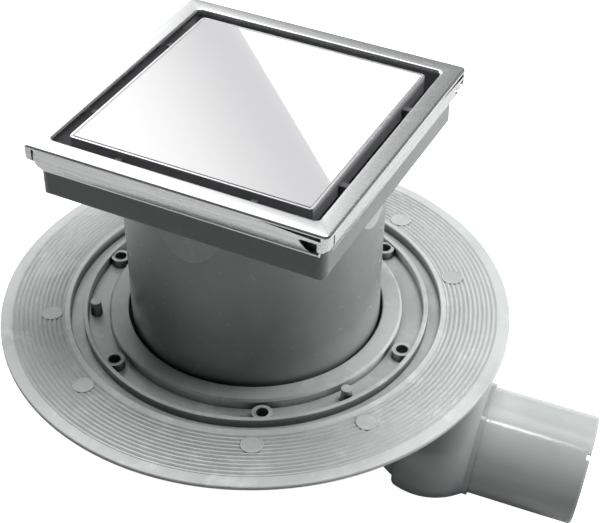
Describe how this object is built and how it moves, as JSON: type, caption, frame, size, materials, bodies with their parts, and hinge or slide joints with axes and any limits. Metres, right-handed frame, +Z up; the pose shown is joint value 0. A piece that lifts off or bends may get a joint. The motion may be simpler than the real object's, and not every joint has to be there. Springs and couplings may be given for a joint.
{
  "type": "gully trap",
  "caption": "Floor gully trap with a round membrane flange, a telescopic square inlet head with a tile tray, a lift-out water trap and a swivelling side outlet pipe.",
  "frame": {"origin": "on the drain's axis, at the flat underside of the pot", "axes": "+Z up along the drain's axis, +X along the branch that leaves the pot"},
  "size_m": [0.2837, 0.235, 0.182],
  "materials": {
    "moulding": "moulded polypropylene, light grey, satin",
    "head_moulding": "moulded polypropylene, mid grey, satin",
    "inner_plastic": "moulded polypropylene, dark grey",
    "steel": "stainless steel, brushed",
    "tile": "white, polished",
    "seal_rubber": "black rubber"
  },
  "bodies": {
    "drain": {"drain_body": "moulding", "outlet_branch": "moulding", "seal_retainer": "moulding"},
    "stem_ring": {"stem_seal": "seal_rubber"},
    "head": {"extension_piece": "head_moulding", "steel_frame": "steel", "slot_liner": "inner_plastic", "tile_tray": "steel", "tile_insert": "tile", "tray_spacers": "inner_plastic", "hair_strainer": "inner_plastic", "trap_funnel": "inner_plastic", "dip_tube": "inner_plastic", "trap_o_ring": "seal_rubber", "trap_cup": "inner_plastic"},
    "branch_ring": {"ball_seal": "seal_rubber"},
    "outlet": {"outlet_spigot": "moulding"}
  },
  "joints": [
    {"name": "head_turn", "type": "hinge", "parent": "drain", "child": "stem_ring", "pos_m": [0, 0, 0.065], "axis": [0, 0, 1], "continuous": true},
    {"name": "head_height", "type": "slide", "parent": "stem_ring", "child": "head", "axis": [0, 0, 1], "range_m": [-0.03, 0.008]},
    {"name": "outlet_turn", "type": "hinge", "parent": "drain", "child": "branch_ring", "pos_m": [0.0925, 0, 0.035], "axis": [1, 0, 0], "continuous": true},
    {"name": "outlet_tilt", "type": "hinge", "parent": "branch_ring", "child": "outlet", "pos_m": [0.0925, 0, 0.035], "axis": [0, 0.5439, 0.8391], "range_deg": [-25.3, 4.7]}
  ]
}
